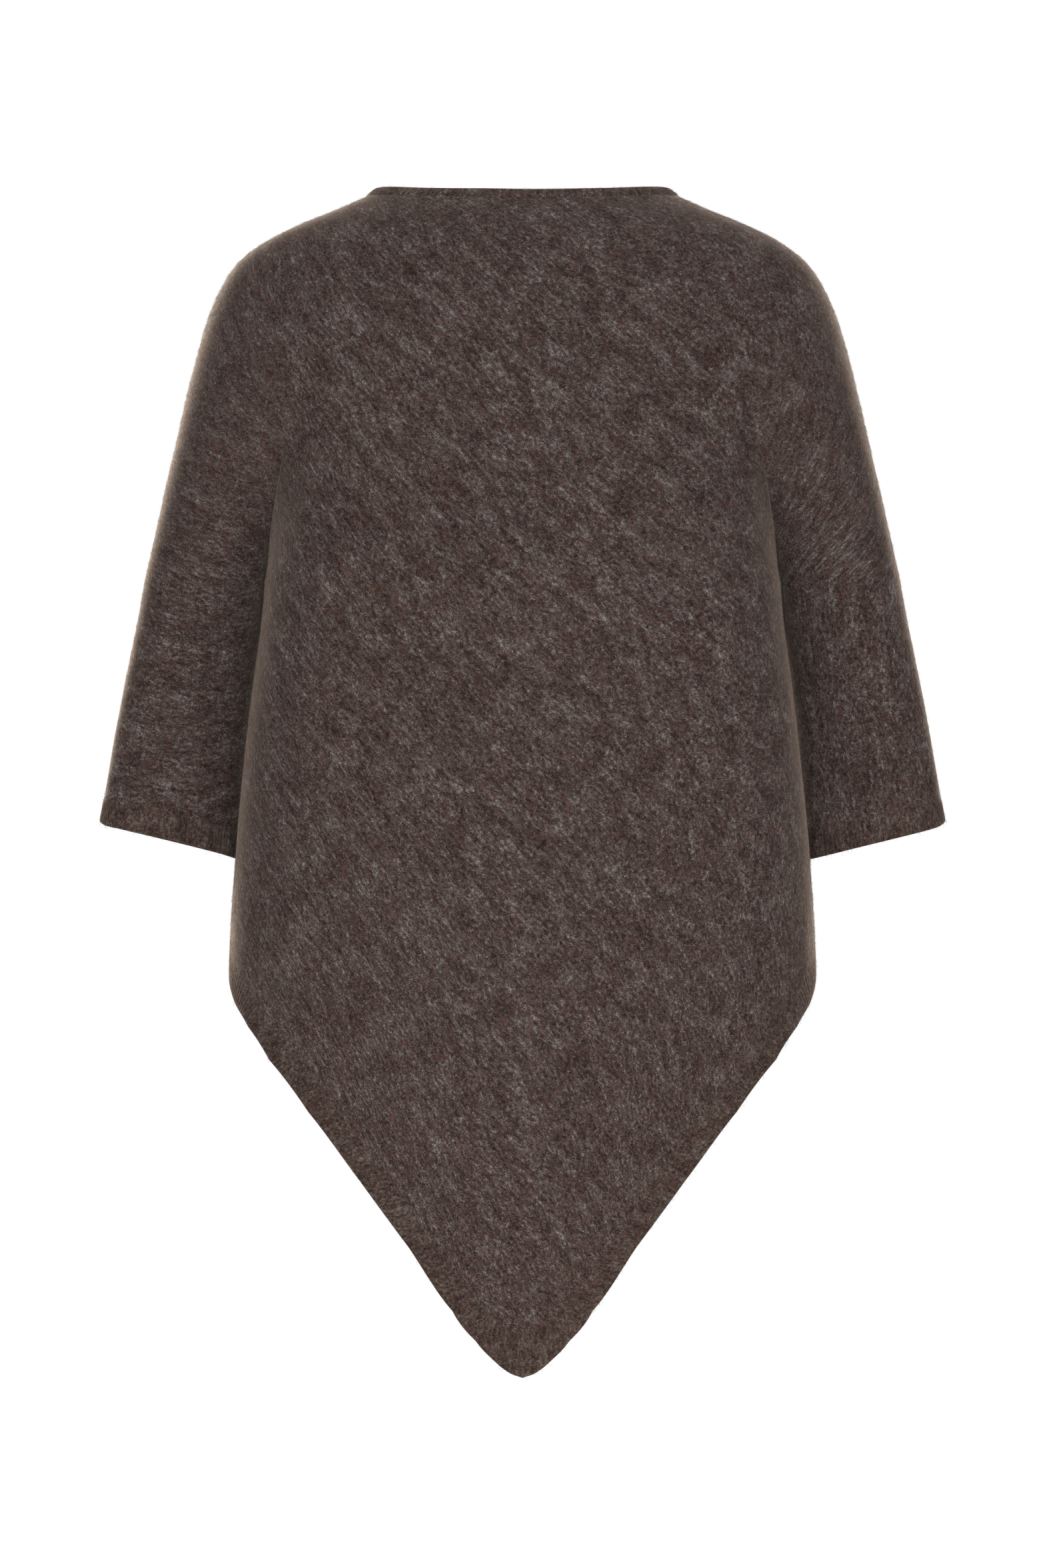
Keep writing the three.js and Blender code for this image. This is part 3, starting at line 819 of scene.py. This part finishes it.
# Loose fibres over panels and bands: short curved ribbons of three points along, almost flat.
fuzz = {
    "length": (2.5, 6),
    "width": (0.08, 0.14),
    "lift": (0.12, 0.9),
    "rooted": 0.1,
    "bend": 0.8,                    # how widely the bends differ
    "bendShare": 0.35,              # a bend's size as a share of the length
    "tipBend": 1.6,
    "tipLift": 1.2,
    "tilt": 0.9,
    "sideMore": 1.2,                # how many more grow where the cloth looks sideways
    "grains": (76, 47, 47, 15),     # degrees, from the wearer's right sleeve to the left one
    "grainParts": (-0.9, -0.1, 0.1, 0.9),
    "grainSpread": 0.7,
    "sleeveFrom": 0.21,             # metres from the middle, for the bands
    "facing": 0.06,
    "outward": 0.05,
    "seed": 41,
}
fuzzFinish = {"dim": (0.0259, 0.0173, 0.0147, 1), "bright": (0.083, 0.072, 0.0648, 1),
              "brightFrom": (0.4, 0.62), "roughness": 0.9, "specular": 0.1}


def unit(vectors):
    return vectors / np.maximum(np.linalg.norm(vectors, axis=-1, keepdims=True), tiny)


def makeFuzz(name, source, count, side):
    # side 0 takes the faces that look away from the source's middle
    mesh = bpy.data.objects[source].data
    points = np.zeros(len(mesh.vertices) * 3)
    mesh.vertices.foreach_get("co", points)
    points = points.reshape(-1, 3)
    quads = np.array([tuple(face.vertices) for face in mesh.polygons if len(face.vertices) == 4])
    corners = points[quads]
    cross = np.cross(corners[:, 2] - corners[:, 0], corners[:, 3] - corners[:, 1])
    area = np.linalg.norm(cross, axis=1)
    if side:
        facing = side * unit(cross)[:, 1] > fuzz["facing"]
    else:
        outward = unit(corners.mean(axis=1) - points.mean(axis=0))
        facing = (unit(cross) * outward).sum(axis=1) > fuzz["outward"]
    randoms = np.random.default_rng(fuzz["seed"] + len(source) + side)
    share = area * (1 + fuzz["sideMore"] * (1 - np.abs(unit(cross)[:, 1])))
    chosen = randoms.choice(np.where(facing)[0], count, p=share[facing] / share[facing].sum())
    normal = unit(cross[chosen])
    first, second = randoms.random((2, count, 1))
    corner = corners[chosen]
    root = ((corner[:, 0] * (1 - first) + corner[:, 1] * first) * (1 - second)
            + (corner[:, 3] * (1 - first) + corner[:, 2] * first) * second)
    # the grain runs flatter on the left sleeve and steeper on the right one
    part = np.sign(root[:, 0]) * (np.abs(root[:, 0]) > fuzz["sleeveFrom"])
    if "sleevePart" in mesh.attributes:
        parts = np.zeros(len(mesh.vertices))
        mesh.attributes["sleevePart"].data.foreach_get("value", parts)
        part = parts[quads[chosen][:, 0]]
    grain = np.radians(np.interp(part[:, None], fuzz["grainParts"], fuzz["grains"]))
    angle = grain + randoms.normal(0, fuzz["grainSpread"], grain.shape)
    level = unit(np.cross((0, 0, 1), normal)) * np.where(normal[:, 1:2] > 0, 1, -1)
    down = unit(np.cross(normal, level))
    down *= np.where(down[:, 2:] > 0, -1, 1)
    way = unit(level * np.cos(angle) + down * np.sin(angle))
    aside = np.cross(normal, way)
    length = randoms.uniform(*fuzz["length"], grain.shape) * mm
    lift = randoms.uniform(*fuzz["lift"], grain.shape) * mm
    bend = randoms.normal(0, fuzz["bend"], grain.shape) * length * fuzz["bendShare"]
    halfWidth = randoms.uniform(*fuzz["width"], grain.shape) * mm / 2
    tilt = randoms.uniform(-fuzz["tilt"], fuzz["tilt"], grain.shape)
    flat = unit(aside * np.cos(tilt) + normal * np.sin(tilt)) * halfWidth
    base = root - normal * fuzz["rooted"] * mm
    middle = root + way * length * 0.5 + aside * bend * 0.5 + normal * lift
    tipLift = randoms.uniform(0, fuzz["tipLift"], grain.shape)
    tip = root + way * length + aside * bend * fuzz["tipBend"] + normal * lift * tipLift
    ribbon = np.stack([base - flat, base + flat, middle + flat, middle - flat, tip], axis=1)
    start = np.arange(count)[:, None] * ribbon.shape[1]
    faces = (start + np.array([0, 1, 2, 3])).tolist() + (start + np.array([3, 2, 4])).tolist()
    fuzzMesh = bpy.data.meshes.new(name)
    fuzzMesh.from_pydata(ribbon.reshape(-1, 3).tolist(), [], faces)
    piece = bpy.data.objects.new(name, fuzzMesh)
    scene.collection.objects.link(piece)
    piece.data.materials.append(fuzzPaint)
    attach(piece, "root")
    print(name, count, "fibres")


def fuzzMaterial(name):
    table = NodeTable(name)
    place = table.add("ShaderNodeTexCoord").outputs["Object"]
    tone = table.fit(table.noise(place, **noises["fuzz"]), *fuzzFinish["brightFrom"])
    colour = table.mix(tone, fuzzFinish["dim"], fuzzFinish["bright"])
    table.shader(colour, {"Roughness": fuzzFinish["roughness"],
                          "Specular IOR Level": fuzzFinish["specular"]})
    return table.material


fuzzPaint = fuzzMaterial("looseFibres")
makeFuzz("backFuzz", "backPanel", 64000, 1)
makeFuzz("frontFuzz", "frontPanel", 60000, -1)
makeFuzz("backHemFuzz", "backHemBand", 2600, 1)
makeFuzz("frontHemFuzz", "frontHemBand", 2600, -1)
makeFuzz("leftCuffFuzz", "leftCuff", 1000, 0)
makeFuzz("rightCuffFuzz", "rightCuff", 1000, 0)
makeFuzz("neckbandFuzz", "neckbandKnit", 1100, 0)

# Camera level behind the wearer, so the height of the image is pixelsHigh at the garment's middle.
lens = bpy.data.cameras.new("photoCamera")
lens.sensor_fit = "VERTICAL"
lens.sensor_height = camera["sensor"]
lens.lens = camera["sensor"] * camera["distance"] / (camera["pixelsHigh"] * camera["mmForPixel"] * mm)
lens.clip_end = camera["sees"]
photoCamera = bpy.data.objects.new("photoCamera", lens)
photoCamera.location = (0, camera["distance"], camera["height"])
photoCamera.rotation_euler = (math.pi / 2, 0, math.pi)
scene.collection.objects.link(photoCamera)
scene.camera = photoCamera

# A pale floor below, white all round, two lamps beside the camera, one above, and warm ones behind the
# cloth at both sides, which light its edges.
studio = {"floorZ": -1.25, "floorSize": 2.2, "floorColour": (0.9, 0.9, 0.89, 1), "floorRoughness": 0.8,
          "white": (1, 1, 1, 1), "world": 1.0, "target": (0, 0, -0.4)}
lamps = {
    "keyLamp": {"at": (-0.35, 3.4, 0.15), "size": 1, "power": 98},
    "fillLamp": {"at": (0.35, 3.4, -0.65), "size": 1, "power": 69},
    "topLamp": {"at": (0, -0.3, 2.2), "size": 2.4, "power": 24, "colour": (1, 0.9, 0.8)},
    "leftRimLamp": {"at": (1.42, -2.65, 0.3), "size": 1.1, "power": 320, "colour": (1, 0.82, 0.66)},
    "rightRimLamp": {"at": (-1.42, -2.65, 0.3), "size": 1.1, "power": 160, "colour": (1, 0.82, 0.66)},
}

bpy.ops.mesh.primitive_plane_add(size=studio["floorSize"], location=(0, 0, studio["floorZ"]))
floor = bpy.context.active_object
floor.name = "floor"
bpy.ops.object.transform_apply(location=True, rotation=True, scale=True)
floorPaint = bpy.data.materials.new("paleFloor")
floorPaint.use_nodes = True
floorShader = floorPaint.node_tree.nodes["Principled BSDF"]
floorShader.inputs["Base Color"].default_value = studio["floorColour"]
floorShader.inputs["Roughness"].default_value = studio["floorRoughness"]
floor.data.materials.append(floorPaint)

world = bpy.data.worlds.new("whiteStudio")
world.use_nodes = True
background = world.node_tree.nodes["Background"]
background.inputs["Color"].default_value = studio["white"]
background.inputs["Strength"].default_value = studio["world"]
scene.world = world
target = Vector(studio["target"])
for lampName, lamp in lamps.items():
    light = bpy.data.lights.new(lampName, "AREA")
    light.shape = "SQUARE"
    light.size = lamp["size"]
    light.energy = lamp["power"]
    light.color = lamp.get("colour", studio["white"][:3])
    holder = bpy.data.objects.new(lampName, light)
    holder.location = lamp["at"]
    holder.rotation_euler = (target - Vector(lamp["at"])).to_track_quat("-Z", "Y").to_euler()
    scene.collection.objects.link(holder)
scene.view_settings.view_transform = "Standard"
print("studio set")
